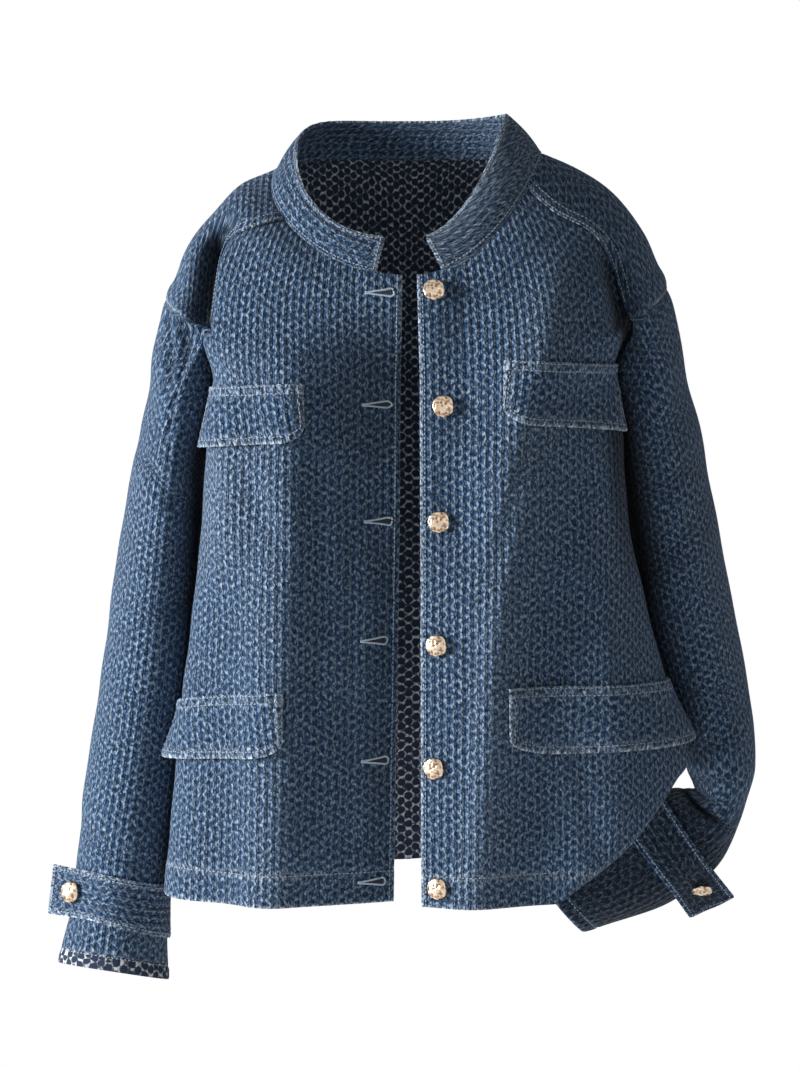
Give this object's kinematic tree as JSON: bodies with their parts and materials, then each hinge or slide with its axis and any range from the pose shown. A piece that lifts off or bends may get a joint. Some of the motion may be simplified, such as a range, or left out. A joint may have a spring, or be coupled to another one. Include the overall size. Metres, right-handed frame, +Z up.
{
  "type": "shirt jacket",
  "caption": "Women's waist-length shirt jacket in patterned indigo denim with a stand collar, pocket flaps, strapped cuffs and hammered gold shank buttons, hanging open.",
  "frame": {"origin": "centre of the neck opening at the height of the shoulders, where the wearer's shoulders carry the jacket", "axes": "+Z up, -Y the front with the buttons, +X the wearer's left"},
  "size_m": [0.5685, 0.2495, 0.6985],
  "materials": {
    "denim": "matt honeycomb-textured indigo weave",
    "gold_metal": "pale gold, hammered, semi-gloss"
  },
  "bodies": {
    "root": {"front_right": "denim", "front_left": "denim", "back": "denim", "collar": "denim", "sleeve_right": "denim", "sleeve_left": "denim", "cuff_strap_right": "denim", "cuff_strap_left": "denim", "chest_flap_right": "denim", "chest_flap_left": "denim", "hip_flap_right": "denim", "hip_flap_left": "denim", "button_1": "gold_metal", "button_2": "gold_metal", "button_3": "gold_metal", "button_4": "gold_metal", "button_5": "gold_metal", "button_6": "gold_metal", "cuff_button_right": "gold_metal", "cuff_button_left": "gold_metal"}
  },
  "joints": []
}
